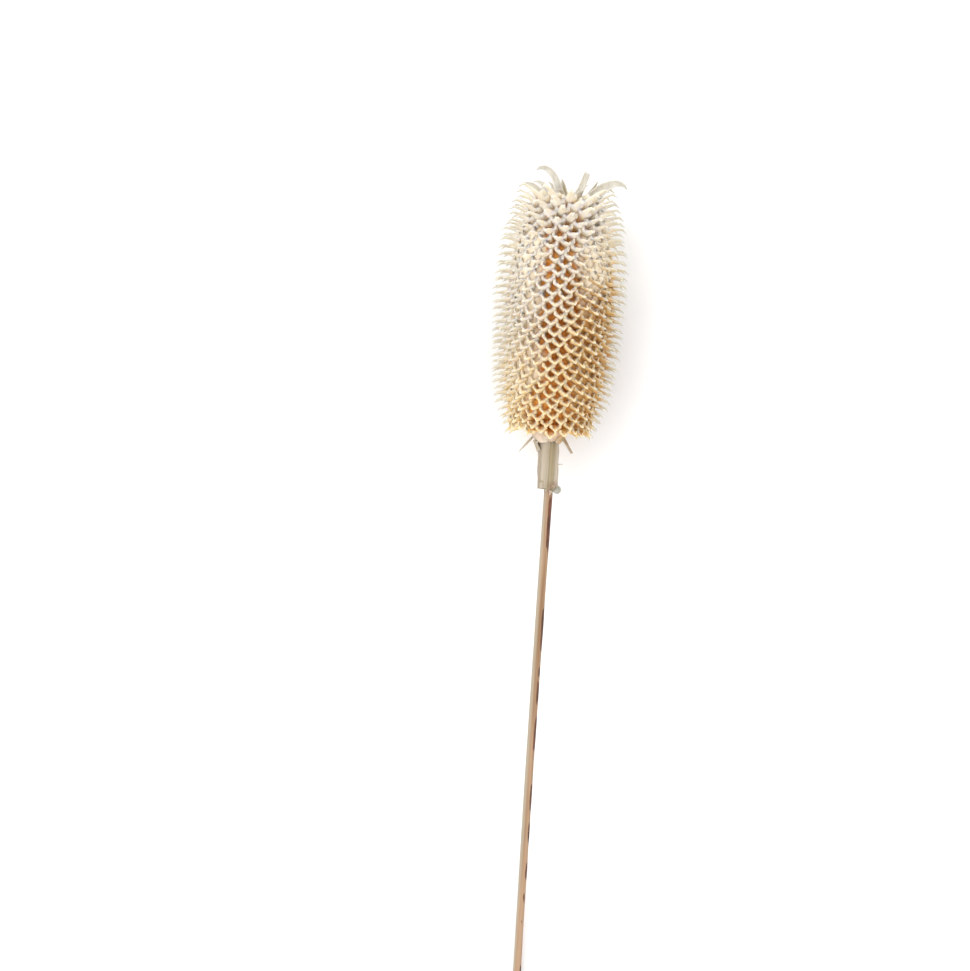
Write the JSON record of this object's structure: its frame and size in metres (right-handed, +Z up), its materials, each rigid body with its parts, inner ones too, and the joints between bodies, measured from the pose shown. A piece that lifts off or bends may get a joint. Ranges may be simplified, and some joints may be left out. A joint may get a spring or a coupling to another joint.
{
  "type": "dried teasel head on a stick",
  "caption": "Bleached dried teasel head with spirally set hooked bracts and a crown tuft, its short cut stalk glued onto a slim cane stick; lies on a surface.",
  "frame": {"origin": "on the surface it lies on, below the middle of the bounding box", "axes": "+Z up from the surface, +Y along the stick towards the crown of the head, +X to the right of the split in the stalk stub, which faces up"},
  "size_m": [0.0442, 0.2795, 0.0444],
  "materials": {
    "bract": "dry papery straw, pale cream rims over ochre sockets",
    "crown": "dry papery, bleached nearly white",
    "receptacle": "matt, rough orange-brown pith",
    "stalk": "matt, fibrous, lengthwise ribbed",
    "stick": "satin cane with remains of dark red-brown bark",
    "glue": "cloudy, slightly glossy hot-melt glue"
  },
  "bodies": {
    "root": {"bract_row_01": "bract", "bract_row_02": "bract", "bract_row_03": "bract", "bract_row_04": "bract", "bract_row_05": "bract", "bract_row_06": "bract", "bract_row_07": "bract", "bract_row_08": "bract", "bract_row_09": "bract", "bract_row_10": "bract", "bract_row_11": "bract", "bract_row_12": "bract", "bract_row_13": "bract", "bract_row_14": "bract", "bract_row_15": "bract", "bract_row_16": "bract", "bract_row_17": "bract", "bract_row_18": "bract", "bract_row_19": "bract", "bract_row_20": "bract", "bract_row_21": "bract", "bract_row_22": "bract", "bract_row_23": "bract", "bract_row_24": "bract", "bract_row_25": "bract", "bract_row_26": "bract", "bract_row_27": "bract", "bract_row_28": "bract", "bract_row_29": "bract", "bract_row_30": "bract", "bract_row_31": "bract", "bract_row_32": "bract", "crown_bract_01": "crown", "crown_bract_02": "crown", "crown_bract_03": "crown", "crown_bract_04": "crown", "crown_bract_05": "crown", "crown_bract_06": "crown", "crown_bract_07": "crown", "crown_bract_08": "crown", "crown_bract_09": "crown", "crown_bract_10": "crown", "crown_bract_11": "crown", "glue_bead": "glue", "involucre_back_left_stump": "stalk", "involucre_back_right_stump": "stalk", "involucre_left_spine": "stalk", "involucre_right_stump": "stalk", "receptacle": "receptacle", "stalk_stub": "stalk", "stick": "stick"}
  },
  "joints": []
}
